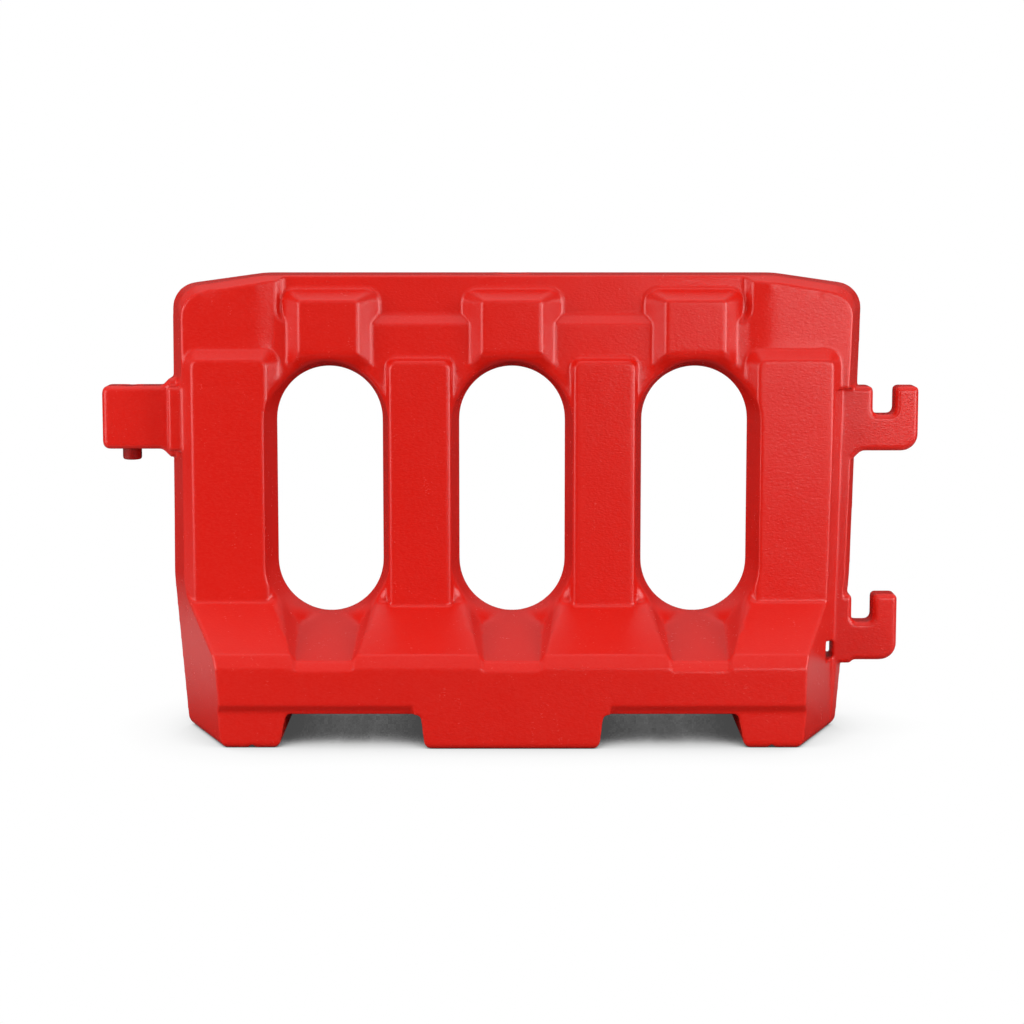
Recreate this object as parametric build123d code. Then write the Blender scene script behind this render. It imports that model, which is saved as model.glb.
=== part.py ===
"""Water-filled road barrier: two half shells of one moulding, a coupling pin, a filler and a drain.

Sizes are millimetres. The front is -Y, the hooks point to +X and the ground is Z = 0.
"""
from build123d import *
import math
import os

# Body outline on the parting plane, Y = 0
HEIGHT = 796.0
GROUND_HALF = 570.0           # half length at the ground
WAIST_HALF = 592.0            # half length where the base flare ends
WAIST_Z = 270.0
LUG_END_TOP = 587.0           # upper end wall on the lug side
HOOK_END_TOP = 605.0          # upper end wall on the hook side
CREST_LUG_END = 425.0         # where the flat crest starts to fall to the shoulder
CREST_HOOK_END = 450.0
SHOULDER_FALL = 22.5          # crest to the unrounded shoulder corner
SHOULDER_RADIUS = 45.0
SKID_RADIUS = 20.0            # lower outline corners
BLEND_RADIUS = 200.0          # soft bends at the waist and at the ends of the crest

# Depths in front of the parting plane
BASE_DEPTH = 206.0
END_SETBACK = 82.0            # how far an end wall moves in over the base depth
END_TOP_LEAN = 0.33           # the same at the shoulders, per millimetre of depth
CREST_DEPTH = 42.0
TROUGH_DEPTH = 45.0
PANEL_DEPTH = 59.0
END_PANEL_DEPTH = 64.0
INNER_PILLAR_DEPTH = 72.0
END_PILLAR_DEPTH = 84.0
BOSS_DEPTH = 82.0
CREST_DRAFT = 4.0             # fall of the crest from the parting plane to its front edge
RIM_FALL = 11.0               # height of the slanted rim between crest and end panel
WALL = 4.0

# Base and feet
FRONT_TOP_Z = 138.0           # upper edge of the upright base front
NOSE_DEPTH = 196.0            # lower edge of the slope
NOSE_Z = 160.0
INNER_SLOPE_Z = 223.0         # slope height at the inner pillars
END_SLOPE_Z = 232.0           # slope height at the end pillars
SLOPE_JOIN_X = 373.0          # the two slopes meet inside the outer valleys
FOOT_EDGE = 12.0
FOOT_CORNER = 16.0            # rounding of the foot walls where they reach the ground
SLOT_HEIGHT = 58.0
SLOT_INNER_TOP = 154.0
SLOT_OUTER_TOP = 382.0
SLOT_INNER_DRAFT = 7.0        # the slots widen towards the ground
SLOT_OUTER_DRAFT = 12.0
SLOT_ROOF_RADIUS = 8.0
SETBACK_TOP_Z = 75.0          # down-facing chamfer above the side feet
SETBACK_LOW_Z = 62.0
SETBACK = 10.0
SETBACK_INNER_X = 166.0
GROOVE_X = 440.0
GROOVE_HALF = 8.0
GROOVE_HEIGHT = 6.0

# Windows and the valleys below them
WINDOW_PITCH = 317.0
WINDOW_HALF = 91.5
WINDOW_LOW = 205.0
WINDOW_HIGH = HEIGHT - 162.0
FUNNEL_LEAN = 0.196           # outward lean of the window walls per millimetre of depth
FUNNEL_REACH = 100.0
VALLEY_SECTIONS = (           # depth, floor half width, floor Z, top half width, top Z
    (4.0, 14.0, 204.6, 60.0, 235.0),
    (60.0, 53.0, 189.0, 84.0, 238.0),
    (196.0, 47.0, 149.0, 95.0, 207.0),
    (216.0, 47.0, 117.0, 121.0, 207.0),
)

# Pillars, bosses and the trough
INNER_PILLAR_HALF = 51.0
INNER_PILLAR_TOP = HEIGHT - 151.0
INNER_PILLAR_LEAN = 0.59
INNER_PILLAR_TOP_LEAN = 0.55
END_PILLAR_OUT = 547.0
END_PILLAR_IN = 421.0
END_PILLAR_TOP = HEIGHT - 147.0
END_PILLAR_LEAN = 0.9
END_PILLAR_TOP_LEAN = 0.9
PILLAR_EDGE = 5.0
PILLAR_CORNER = 12.0          # upper corners of the pillar faces
PILLAR_LOW = 150.0
BOSS_PITCH = 313.0
BOSS_HALF = 50.5
BOSS_LOW = HEIGHT - 140.0
BOSS_HIGH = HEIGHT - 45.0
BOSS_LEAN = 0.97              # sides and underside
BOSS_TOP_LEAN = 0.5
BOSS_EDGE = 5.0
BOSS_CORNER = 6.0
END_PANEL_EDGE = 440.0        # end panel starts to slant to the middle panel
END_PANEL_JOIN = 407.0        # and meets it here
TROUGH_LUG_END = 391.0        # trough floor from the middle to its ends
TROUGH_HOOK_END = 398.0
TROUGH_LOW = HEIGHT - 71.0    # lower edge of the trough floor
TROUGH_END_LEAN = 0.94
TROUGH_LEDGE_LEAN = 1.13
TROUGH_CORNER = 12.0
TROUGH_REACH = 80.0

# Coupling lug, pin and hooks
COUPLER_HALF = 28.0
COUPLER_EDGE = 6.0
COUPLER_ROOT = 14.0
LUG_REACH = 710.0
LUG_HIGH = HEIGHT - 195.0
LUG_LOW = LUG_HIGH - 110.0
LUG_CORNER = 12.0
LUG_ROOT_DEPTH = 63.0         # thick root that carries the lug load into the end panel
LUG_ROOT_LENGTH = 32.0
LUG_ROOT_EDGE = 4.0
HOOK_LIP = 8.0
HOOK_NOTCH_RADIUS = 10.0
HOOK_HEEL = 29.0
UPPER_HOOK_HIGH = HEIGHT - 196.0
# Each hook: reach, low, high, notch from, notch to, notch floor, size of the gusset below
UPPER_HOOK = (704.0, UPPER_HOOK_HIGH - 112.0, UPPER_HOOK_HIGH, 625.0, 664.0, UPPER_HOOK_HIGH - 49.0, 14.0)
LOWER_HOOK = (673.0, 120.0, 236.0, 594.0, 631.0, 187.0, 6.0)
FLANGE_DEPTH = 28.0           # upright flange that joins the hooks
FLANGE_TOP = HEIGHT - 198.0
FLANGE_LOW_X = 558.0          # where the end wall meets the flange, at the ground and at its top
FLANGE_TOP_X = 571.0
FLANGE_LEAN = 0.365
PIN_FROM_END = 48.0
PIN_X = PIN_FROM_END - LUG_REACH
PIN_RADIUS = 17.0
PIN_CLEARANCE = 0.5
PIN_TIP_RADIUS = 16.5
PIN_TIP_Z = LUG_LOW - 20.0
PIN_TIP_EDGE = 4.0
PIN_STEP_DROP = 1.0           # the thinner tip starts this far below the lug
PIN_BORE = 11.0
PIN_FLOOR = 10.0
PIN_HEAD_RADIUS = 22.0
PIN_HEAD_HEIGHT = 6.0
PIN_HEAD_SINK = 2.0           # head top below the lug top

# Tie hole through the flange beside the lower hook: left, right, low, high
TIE_HOLE_BACK = (549.0, 561.0, 124.0, 151.0)
TIE_HOLE_FRONT = (535.0, 562.0, 127.0, 161.0)
TIE_HOLE_DEPTH = 75.0

# Filler on the crest
WELL_RADIUS = 35.0
WELL_DEPTH = 20.0
NECK_RADIUS = 27.0
NECK_BORE = 23.0
NECK_LENGTH = 22.0
NECK_FLANGE_RADIUS = 33.0
NECK_FLANGE_HEIGHT = 4.0
FILLER_GASKET_HEIGHT = 2.5
FILLER_GASKET_RADIUS = 30.0
CAP_RADIUS = 32.0
CAP_HEIGHT = 6.0
CAP_PLUG_LENGTH = 18.0
CAP_PLUG_WALL = 4.0
CAP_BAR_HEIGHT = 5.5
CAP_BAR_HALF_WIDTH = 4.5
CAP_BAR_HALF_LENGTH = 25.0

# Drain at the back of the middle foot
DRAIN_Z = 36.0
DRAIN_RECESS_RADIUS = 20.0
DRAIN_RECESS_DEPTH = 11.0
BUSH_RADIUS = 14.0
BUSH_BORE = 10.0
BUSH_LENGTH = 18.0
BUSH_FLANGE_RADIUS = 18.5
BUSH_FLANGE_HEIGHT = 3.0
DRAIN_GASKET_RADIUS = 16.0
DRAIN_GASKET_HEIGHT = 2.0
PLUG_HEAD_RADIUS = 17.0
PLUG_HEAD_HEIGHT = 5.0
PLUG_LENGTH = 15.0
PLUG_SLOT_WIDTH = 4.0
PLUG_SLOT_DEPTH = 2.5

SEAT_GAP = 0.3                # radial room round the fittings
THREAD_GAP = 0.4              # radial room between screwed pieces
MARGIN = 20.0                 # how far cutters run past the faces they cut
BELOW_GROUND = 1.0

END_LEAN = END_SETBACK / BASE_DEPTH
END_WALL_FACTOR = math.hypot(1.0, END_LEAN)


def rounded(points, radii):
    """Closed face through the points, with one rounding radius or one per corner."""
    return make_face(FilletPolyline(*points, radius=radii, close=True))


def grown(profile, amount):
    """The profile moved outwards, or inwards when the amount is negative."""
    if amount == 0.0:
        return profile
    return offset(profile, amount, kind=Kind.INTERSECTION)


def at_depth(profile, depth):
    """Place a length-height profile in front of the parting plane."""
    return Plane.XZ.offset(depth) * profile


def bar(profile, start, end):
    """Run a depth-height profile along the length."""
    return Pos(start, 0, 0) * extrude(Plane.YZ * profile, end - start)


def ruled(sections):
    """Solid with straight sides through the sections; sides that come out flat are made true planes."""
    sides = loft(sections, ruled=True).faces()
    return Solid(Shell([Face(side.outer_wire()) if side.is_planar else side for side in sides]))


def outline(depth, fall, inset):
    """Body outline at a depth, with the top lowered and everything moved in by the inset."""
    wall = inset * END_WALL_FACTOR
    shift = END_LEAN * depth + wall
    top_shift = END_TOP_LEAN * depth + wall
    crest = HEIGHT - fall - inset
    shoulder = crest - SHOULDER_FALL
    ground = inset - BELOW_GROUND
    points = (
        (shift - GROUND_HALF, ground),
        (shift - WAIST_HALF, WAIST_Z),
        (top_shift - LUG_END_TOP, shoulder),
        (-CREST_LUG_END, crest),
        (CREST_HOOK_END, crest),
        (HOOK_END_TOP - top_shift, shoulder),
        (WAIST_HALF - shift, WAIST_Z),
        (GROUND_HALF - shift, ground),
    )
    skid = 0.0 if inset > 0.0 else SKID_RADIUS
    corner = SHOULDER_RADIUS - inset
    radii = (skid, BLEND_RADIUS, corner, BLEND_RADIUS, BLEND_RADIUS, corner, BLEND_RADIUS, skid)
    return at_depth(rounded(points, radii), depth)


def envelope(inset):
    """Everything between the end walls and under the crest, from the parting plane forwards."""
    rim_fall = CREST_DRAFT + RIM_FALL
    sections = (
        outline(0.0, 0.0, inset),
        outline(CREST_DEPTH - inset, CREST_DRAFT, inset),
        outline(END_PANEL_DEPTH - inset, rim_fall, inset),
        outline(BASE_DEPTH + MARGIN, rim_fall, inset),
    )
    return ruled(sections)


def base_profile(slope_depth, slope_z, inset):
    """Depth-height section of the base with its slope carried on under the panels."""
    run = slope_depth - TROUGH_DEPTH
    back_z = slope_z + run * (slope_z - NOSE_Z) / (NOSE_DEPTH - slope_depth)
    points = (
        (MARGIN, -MARGIN),
        (-BASE_DEPTH, -MARGIN),
        (-BASE_DEPTH, FRONT_TOP_Z),
        (-NOSE_DEPTH, NOSE_Z),
        (-TROUGH_DEPTH, back_z),
        (MARGIN, back_z),
    )
    return grown(rounded(points, 0.0), -inset)


def base(inset):
    """Flared base: one slope in the middle and a steeper one at each end."""
    inner = base_profile(INNER_PILLAR_DEPTH, INNER_SLOPE_Z, inset)
    end = base_profile(END_PILLAR_DEPTH, END_SLOPE_Z, inset)
    far = WAIST_HALF + MARGIN
    return (
        bar(inner, -SLOPE_JOIN_X, SLOPE_JOIN_X)
        + bar(end, -far, -SLOPE_JOIN_X)
        + bar(end, SLOPE_JOIN_X, far)
    )


def panel(inset):
    """Upper slab that carries the pillars and bosses."""
    top = HEIGHT + MARGIN
    points = (
        (MARGIN, PILLAR_LOW),
        (-PANEL_DEPTH, PILLAR_LOW),
        (-PANEL_DEPTH, top),
        (MARGIN, top),
    )
    far = HOOK_END_TOP + MARGIN
    return bar(grown(rounded(points, 0.0), -inset), -far, far)


def end_panel(side, inset):
    """Raised panel at one end, slanting down to the middle panel."""
    points = (
        (side * (HOOK_END_TOP + MARGIN), MARGIN),
        (side * (HOOK_END_TOP + MARGIN), -END_PANEL_DEPTH),
        (side * END_PANEL_EDGE, -END_PANEL_DEPTH),
        (side * END_PANEL_JOIN, -PANEL_DEPTH),
        (side * END_PANEL_JOIN, MARGIN),
    )
    plan = grown(rounded(points, 0.0), -inset)
    return Pos(0, 0, PILLAR_LOW) * extrude(plan, HEIGHT + MARGIN - PILLAR_LOW)


def trough_cutter(inset):
    """Long trough under the crest, with slanting end walls, a ledge below and rounded corners."""
    top = HEIGHT + MARGIN
    sections = []
    for depth in (TROUGH_DEPTH - inset, TROUGH_REACH):
        rise = depth - TROUGH_DEPTH
        spread = TROUGH_END_LEAN * rise + inset * math.hypot(1.0, TROUGH_END_LEAN)
        left = -TROUGH_LUG_END - spread
        right = TROUGH_HOOK_END + spread
        low = TROUGH_LOW - TROUGH_LEDGE_LEAN * rise - inset * math.hypot(1.0, TROUGH_LEDGE_LEAN)
        corner = TROUGH_CORNER + rise + inset
        points = ((left, low), (right, low), (right, top), (left, top))
        sections.append(at_depth(rounded(points, (corner, corner, 0.0, 0.0)), depth))
    return ruled(sections)


def raised_block(left, right, low, high, depth, leans, edge, corner, inset):
    """Raised field with leaning walls, its upper corners and outer face edges rounded.

    The leans are for the left, right, low and top walls.
    """
    root = TROUGH_DEPTH - 2 * inset
    face = depth - inset
    sections = []
    for level in (root, face):
        spread = face - level
        points = (
            (left + inset - leans[0] * spread, low + inset - leans[2] * spread),
            (right - inset + leans[1] * spread, low + inset - leans[2] * spread),
            (right - inset + leans[1] * spread, high - inset + leans[3] * spread),
            (left + inset - leans[0] * spread, high - inset + leans[3] * spread),
        )
        round_off = corner - inset + leans[3] * spread
        sections.append(at_depth(rounded(points, (0.0, 0.0, round_off, round_off)), level))
    block = ruled(sections)
    if inset > 0.0:
        return block
    front = block.faces().sort_by(Axis.Y)[0]
    return fillet(front.edges(), edge)


def pillars(inset):
    """Two inner and two end pillars between and beside the windows."""
    inner_leans = (INNER_PILLAR_LEAN, INNER_PILLAR_LEAN, 0.0, INNER_PILLAR_TOP_LEAN)
    end_leans = (END_PILLAR_LEAN, END_PILLAR_LEAN, 0.0, END_PILLAR_TOP_LEAN)
    blocks = []
    for side in (-1, 1):
        centre = side * WINDOW_PITCH / 2
        blocks.append(raised_block(
            centre - INNER_PILLAR_HALF, centre + INNER_PILLAR_HALF, PILLAR_LOW, INNER_PILLAR_TOP,
            INNER_PILLAR_DEPTH, inner_leans, PILLAR_EDGE, PILLAR_CORNER, inset))
        left, right = sorted((side * END_PILLAR_OUT, side * END_PILLAR_IN))
        blocks.append(raised_block(
            left, right, PILLAR_LOW, END_PILLAR_TOP, END_PILLAR_DEPTH, end_leans,
            PILLAR_EDGE, PILLAR_CORNER, inset))
    return blocks


def bosses(inset):
    """Three bosses that stand over the windows."""
    return [
        raised_block(centre - BOSS_HALF, centre + BOSS_HALF, BOSS_LOW, BOSS_HIGH, BOSS_DEPTH,
                     (BOSS_LEAN, BOSS_LEAN, BOSS_LEAN, BOSS_TOP_LEAN), BOSS_EDGE, BOSS_CORNER, inset)
        for centre in (-BOSS_PITCH, 0.0, BOSS_PITCH)
    ]


def window_cutter(centre, inset):
    """Tall window with half-round ends that widens towards the front."""
    low = WINDOW_LOW + WINDOW_HALF
    high = WINDOW_HIGH - WINDOW_HALF
    wall = inset * math.hypot(1.0, FUNNEL_LEAN)
    depths = (-MARGIN, FUNNEL_REACH)
    halves = [WINDOW_HALF + FUNNEL_LEAN * depth + wall for depth in depths]
    sections = []
    for depth, half in zip(depths, halves):
        points = ((centre - half, low), (centre + half, low), (centre + half, high), (centre - half, high))
        sections.append(at_depth(rounded(points, 0.0), depth))
    middle = Plane.XZ.offset(sum(depths) / 2)
    round_end = Cone(*halves, depths[1] - depths[0])
    return ruled(sections) + middle * Pos(centre, low) * round_end + middle * Pos(centre, high) * round_end


def valley_cutter(centre, inset):
    """Drain valley that runs from a window down the slope."""
    sections = []
    for depth, floor_half, floor_z, top_half, top_z in VALLEY_SECTIONS:
        low = floor_z - inset
        points = (
            (centre - floor_half - inset, low),
            (centre + floor_half + inset, low),
            (centre + top_half + inset, top_z),
            (centre - top_half - inset, top_z),
        )
        sections.append(at_depth(rounded(points, 0.0), depth))
    return ruled(sections)


def slot_cutter(side, inset):
    """Fork slot between the middle foot and a side foot, with rounded foot edges."""
    inner_low = SLOT_INNER_TOP - SLOT_INNER_DRAFT
    outer_low = SLOT_OUTER_TOP + SLOT_OUTER_DRAFT
    spread = 2 * FOOT_CORNER
    points = (
        (side * SLOT_INNER_TOP, SLOT_HEIGHT),
        (side * SLOT_OUTER_TOP, SLOT_HEIGHT),
        (side * outer_low, -BELOW_GROUND),
        (side * (outer_low + spread), -BELOW_GROUND),
        (side * (outer_low + spread), -MARGIN),
        (side * (inner_low - spread), -MARGIN),
        (side * (inner_low - spread), -BELOW_GROUND),
        (side * inner_low, -BELOW_GROUND),
    )
    radii = (SLOT_ROOF_RADIUS, SLOT_ROOF_RADIUS, FOOT_CORNER, 0.0, 0.0, 0.0, 0.0, FOOT_CORNER)
    profile = grown(rounded(points, radii), inset)
    return extrude(at_depth(profile, -MARGIN), BASE_DEPTH + 2 * MARGIN)


def front_edge_cutters(inset):
    """Round the lower front edge and set the base back above the side feet."""
    low_edge = (
        (-BASE_DEPTH - MARGIN, FRONT_TOP_Z / 2),
        (-BASE_DEPTH - BELOW_GROUND, FRONT_TOP_Z / 2),
        (-BASE_DEPTH, -BELOW_GROUND),
        (-BASE_DEPTH + 2 * FOOT_EDGE, -BELOW_GROUND),
        (-BASE_DEPTH + 2 * FOOT_EDGE, -MARGIN),
        (-BASE_DEPTH - MARGIN, -MARGIN),
    )
    back = SETBACK - BASE_DEPTH
    side_edge = (
        (-BASE_DEPTH - MARGIN, SETBACK_TOP_Z),
        (-BASE_DEPTH, SETBACK_TOP_Z),
        (back, SETBACK_LOW_Z),
        (back, -BELOW_GROUND),
        (back + 2 * FOOT_EDGE, -BELOW_GROUND),
        (back + 2 * FOOT_EDGE, -MARGIN),
        (-BASE_DEPTH - MARGIN, -MARGIN),
    )
    low_profile = grown(rounded(low_edge, (0.0, 0.0, FOOT_EDGE, 0.0, 0.0, 0.0)), inset)
    side_profile = grown(rounded(side_edge, (0.0, 0.0, 0.0, FOOT_EDGE, 0.0, 0.0, 0.0)), inset)
    far = WAIST_HALF + MARGIN
    near = SETBACK_INNER_X - inset
    return [bar(low_profile, -near, near), bar(side_profile, -far, -near), bar(side_profile, near, far)]


def groove_cutter(side, inset):
    """Shallow drip groove along the underside of a side foot."""
    centre = side * GROOVE_X
    points = (
        (centre - GROOVE_HALF - inset, -BELOW_GROUND),
        (centre, GROOVE_HEIGHT + inset),
        (centre + GROOVE_HALF + inset, -BELOW_GROUND),
    )
    return extrude(at_depth(rounded(points, 0.0), -MARGIN), BASE_DEPTH + 2 * MARGIN)


def flange_cutter(inset):
    """Room in front of the upright flange that joins the hooks."""
    far = HOOK_END_TOP + MARGIN
    front = BASE_DEPTH + MARGIN
    level = FLANGE_DEPTH - inset
    wall = inset * math.hypot(1.0, FLANGE_LEAN)
    sections = []
    for z, corner in ((-MARGIN, FLANGE_LOW_X), (FLANGE_TOP + inset, FLANGE_TOP_X)):
        near = corner + FLANGE_LEAN * inset - wall
        points = (
            (near, -level),
            (far, -level),
            (far, -front),
            (near - FLANGE_LEAN * (front - level), -front),
        )
        sections.append(Pos(0, 0, z) * rounded(points, 0.0))
    return ruled(sections)


def ground_cutter(inset):
    """Everything below the ground, so that the feet stand on flat faces."""
    block = Box(2 * (WAIST_HALF + MARGIN), 2 * (BASE_DEPTH + MARGIN), 2 * MARGIN)
    return Pos(0, 0, inset - MARGIN) * block


def tie_hole_cutter(inset):
    """Hole beside the lower hook, opening to the end wall."""
    sections = []
    for depth, (left, right, low, high) in ((0.0, TIE_HOLE_BACK), (TIE_HOLE_DEPTH, TIE_HOLE_FRONT)):
        points = (
            (left - inset, low - inset),
            (right + inset, low - inset),
            (right + inset, high + inset),
            (left - inset, high + inset),
        )
        sections.append(at_depth(rounded(points, 0.0), depth))
    return ruled(sections)


def front_form(inset):
    """Front half of the body as a solid; the inset gives the water space inside it."""
    form = base(inset) + panel(inset)
    for side in (-1, 1):
        form += end_panel(side, inset)
    form -= trough_cutter(inset)
    for block in pillars(inset) + bosses(inset):
        form += block
    form &= envelope(inset)
    for centre in (-WINDOW_PITCH, 0.0, WINDOW_PITCH):
        form -= window_cutter(centre, inset)
        form -= valley_cutter(centre, inset)
    for cutter in front_edge_cutters(inset):
        form -= cutter
    for side in (-1, 1):
        form -= slot_cutter(side, inset)
        form -= groove_cutter(side, inset)
    form -= flange_cutter(inset)
    form -= tie_hole_cutter(inset)
    form -= ground_cutter(inset)
    return form


def half_coupler(points, radii, depth=COUPLER_HALF, edge=COUPLER_EDGE):
    """Front half of a lug or hook, with its front edges bevelled."""
    block = extrude(at_depth(rounded(points, radii), 0.0), depth)
    front = block.faces().sort_by(Axis.Y)[0]
    return chamfer(front.edges(), edge)


def half_lug_root():
    """Front half of the thick root where the lug meets the end panel."""
    inner = LUG_ROOT_LENGTH - WAIST_HALF
    points = ((-WAIST_HALF, LUG_LOW), (inner, LUG_LOW), (inner, LUG_HIGH), (-WAIST_HALF, LUG_HIGH))
    return half_coupler(points, 0.0, LUG_ROOT_DEPTH, LUG_ROOT_EDGE)


def half_lug():
    """Front half of the coupling lug."""
    inside = -WAIST_HALF + COUPLER_HALF
    root = -WAIST_HALF - COUPLER_ROOT
    points = (
        (inside, LUG_HIGH + COUPLER_ROOT),
        (-WAIST_HALF, LUG_HIGH + COUPLER_ROOT),
        (root, LUG_HIGH),
        (-LUG_REACH, LUG_HIGH),
        (-LUG_REACH, LUG_LOW),
        (root, LUG_LOW),
        (-WAIST_HALF, LUG_LOW - COUPLER_ROOT),
        (inside, LUG_LOW - COUPLER_ROOT),
    )
    radii = (0.0, 0.0, LUG_CORNER, LUG_CORNER, LUG_CORNER, LUG_CORNER, 0.0, 0.0)
    return half_coupler(points, radii)


def half_hook(sizes):
    """Front half of an upward hook with a notch for the next barrier's pin."""
    reach, low, high, notch_from, notch_to, notch_floor, gusset = sizes
    inside = WAIST_HALF - COUPLER_HALF
    points = (
        (inside, high),
        (notch_from, high),
        (notch_from, notch_floor),
        (notch_to, notch_floor),
        (notch_to, high),
        (reach, high),
        (reach, low),
        (WAIST_HALF + gusset, low),
        (WAIST_HALF, low - gusset),
        (inside, low - gusset),
    )
    radii = (0.0, HOOK_LIP, HOOK_NOTCH_RADIUS, HOOK_NOTCH_RADIUS, HOOK_LIP, HOOK_LIP, HOOK_HEEL,
             gusset, 0.0, 0.0)
    return half_coupler(points, radii)


def upright(radius, low, high, x=0.0):
    """Upright cylinder on the parting plane."""
    return Pos(x, 0, low) * extrude(Circle(radius), high - low)


def backward(radius, start, end):
    """Level cylinder on the drain axis, from one Y to another."""
    return Pos(0, start, DRAIN_Z) * extrude(Plane.XZ * Circle(radius), start - end)


def pin_hole():
    """Bore and head recess for the coupling pin."""
    head_seat = LUG_HIGH - PIN_HEAD_SINK - PIN_HEAD_HEIGHT
    bore = upright(PIN_RADIUS + PIN_CLEARANCE, LUG_LOW - MARGIN, LUG_HIGH + MARGIN, PIN_X)
    recess = upright(PIN_HEAD_RADIUS + PIN_CLEARANCE, head_seat, LUG_HIGH + MARGIN, PIN_X)
    return bore + recess


def half_shell():
    """Front half of the hollow moulding with its couplers and filler well."""
    outer = front_form(0.0)
    for coupler in (half_lug(), half_lug_root(), half_hook(UPPER_HOOK), half_hook(LOWER_HOOK)):
        outer += coupler
    well_floor = HEIGHT - WELL_DEPTH
    water = front_form(WALL) - upright(WELL_RADIUS + WALL, well_floor - WALL, HEIGHT)
    shell = outer - water
    shell -= upright(WELL_RADIUS, well_floor, HEIGHT + MARGIN)
    shell -= upright(NECK_RADIUS + SEAT_GAP, well_floor - WALL - MARGIN, well_floor + MARGIN)
    shell -= pin_hole()
    return shell


def rear_shell(front):
    """Rear half: the mirrored front half with a drain recess in its middle foot."""
    floor = BASE_DEPTH - DRAIN_RECESS_DEPTH
    shell = mirror(front, about=Plane.XZ)
    shell += backward(DRAIN_RECESS_RADIUS + WALL, floor - WALL, BASE_DEPTH - WALL / 2)
    shell -= backward(DRAIN_RECESS_RADIUS, floor, BASE_DEPTH + MARGIN)
    shell -= backward(BUSH_RADIUS + SEAT_GAP, floor - WALL - MARGIN, floor + MARGIN)
    return shell


def coupling_pin():
    """Hollow pin with a flanged head sunk in the lug top."""
    top = LUG_HIGH - PIN_HEAD_SINK
    step = LUG_LOW - PIN_STEP_DROP
    tip = upright(PIN_TIP_RADIUS, PIN_TIP_Z, step, PIN_X)
    tip = chamfer(tip.edges().sort_by(Axis.Z)[0], PIN_TIP_EDGE)
    shank = tip + upright(PIN_RADIUS, step, top, PIN_X)
    head = upright(PIN_HEAD_RADIUS, top - PIN_HEAD_HEIGHT, top, PIN_X)
    return shank + head - upright(PIN_BORE, PIN_TIP_Z + PIN_FLOOR, top + MARGIN, PIN_X)


def filler_neck():
    """Threaded ring that lines the filler hole, flanged on the well floor."""
    floor = HEIGHT - WELL_DEPTH
    ring = upright(NECK_RADIUS, floor - NECK_LENGTH, floor + NECK_FLANGE_HEIGHT)
    ring += upright(NECK_FLANGE_RADIUS, floor, floor + NECK_FLANGE_HEIGHT)
    return ring - upright(NECK_BORE, floor - NECK_LENGTH - MARGIN, floor + MARGIN)


def filler_gasket():
    """Flat seal between the neck flange and the cap."""
    low = HEIGHT - WELL_DEPTH + NECK_FLANGE_HEIGHT
    ring = upright(FILLER_GASKET_RADIUS, low, low + FILLER_GASKET_HEIGHT)
    return ring - upright(NECK_BORE, low - MARGIN, low + MARGIN)


def filler_cap():
    """Screw cap with a hollow plug below and a grip bar on top."""
    seat = HEIGHT - WELL_DEPTH + NECK_FLANGE_HEIGHT + FILLER_GASKET_HEIGHT
    plug_radius = NECK_BORE - THREAD_GAP
    cap = upright(CAP_RADIUS, seat, seat + CAP_HEIGHT)
    cap += upright(plug_radius, seat - CAP_PLUG_LENGTH, seat)
    cap -= upright(plug_radius - CAP_PLUG_WALL, seat - CAP_PLUG_LENGTH - MARGIN, seat)
    bar_block = Rectangle(2 * CAP_BAR_HALF_LENGTH, 2 * CAP_BAR_HALF_WIDTH)
    return cap + Pos(0, 0, seat + CAP_HEIGHT) * extrude(bar_block, CAP_BAR_HEIGHT)


def drain_bush():
    """Threaded bush in the drain hole, flanged on the recess floor."""
    floor = BASE_DEPTH - DRAIN_RECESS_DEPTH
    bush = backward(BUSH_RADIUS, floor - BUSH_LENGTH, floor + BUSH_FLANGE_HEIGHT)
    bush += backward(BUSH_FLANGE_RADIUS, floor, floor + BUSH_FLANGE_HEIGHT)
    return bush - backward(BUSH_BORE, floor - BUSH_LENGTH - MARGIN, floor + MARGIN)


def drain_gasket():
    """Flat seal between the bush flange and the plug head."""
    near = BASE_DEPTH - DRAIN_RECESS_DEPTH + BUSH_FLANGE_HEIGHT
    ring = backward(DRAIN_GASKET_RADIUS, near, near + DRAIN_GASKET_HEIGHT)
    return ring - backward(BUSH_BORE, near - MARGIN, near + MARGIN)


def drain_plug():
    """Screw plug with a slotted head."""
    seat = BASE_DEPTH - DRAIN_RECESS_DEPTH + BUSH_FLANGE_HEIGHT + DRAIN_GASKET_HEIGHT
    top = seat + PLUG_HEAD_HEIGHT
    plug = backward(PLUG_HEAD_RADIUS, seat, top)
    plug += backward(BUSH_BORE - THREAD_GAP, seat - PLUG_LENGTH, seat)
    slot = Box(2 * PLUG_HEAD_RADIUS, 2 * PLUG_SLOT_DEPTH, PLUG_SLOT_WIDTH)
    return plug - Pos(0, top, DRAIN_Z) * slot


def main():
    os.makedirs("parts", exist_ok=True)
    front = half_shell()
    pieces = {
        "front_half_shell": front,
        "rear_half_shell": rear_shell(front),
        "coupling_pin": coupling_pin(),
        "filler_neck": filler_neck(),
        "filler_gasket": filler_gasket(),
        "filler_cap": filler_cap(),
        "drain_bush": drain_bush(),
        "drain_gasket": drain_gasket(),
        "drain_plug": drain_plug(),
    }
    for name, piece in pieces.items():
        export_step(piece, f"parts/{name}.step")


main()
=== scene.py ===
"""Looks of the red road barrier: moulded shell, coupling pin, filler, drain and a white studio."""

import math

import bmesh
import bpy
from bpy.props import FloatProperty, FloatVectorProperty, IntProperty, PointerProperty
from mathutils import Matrix, Vector


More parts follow.
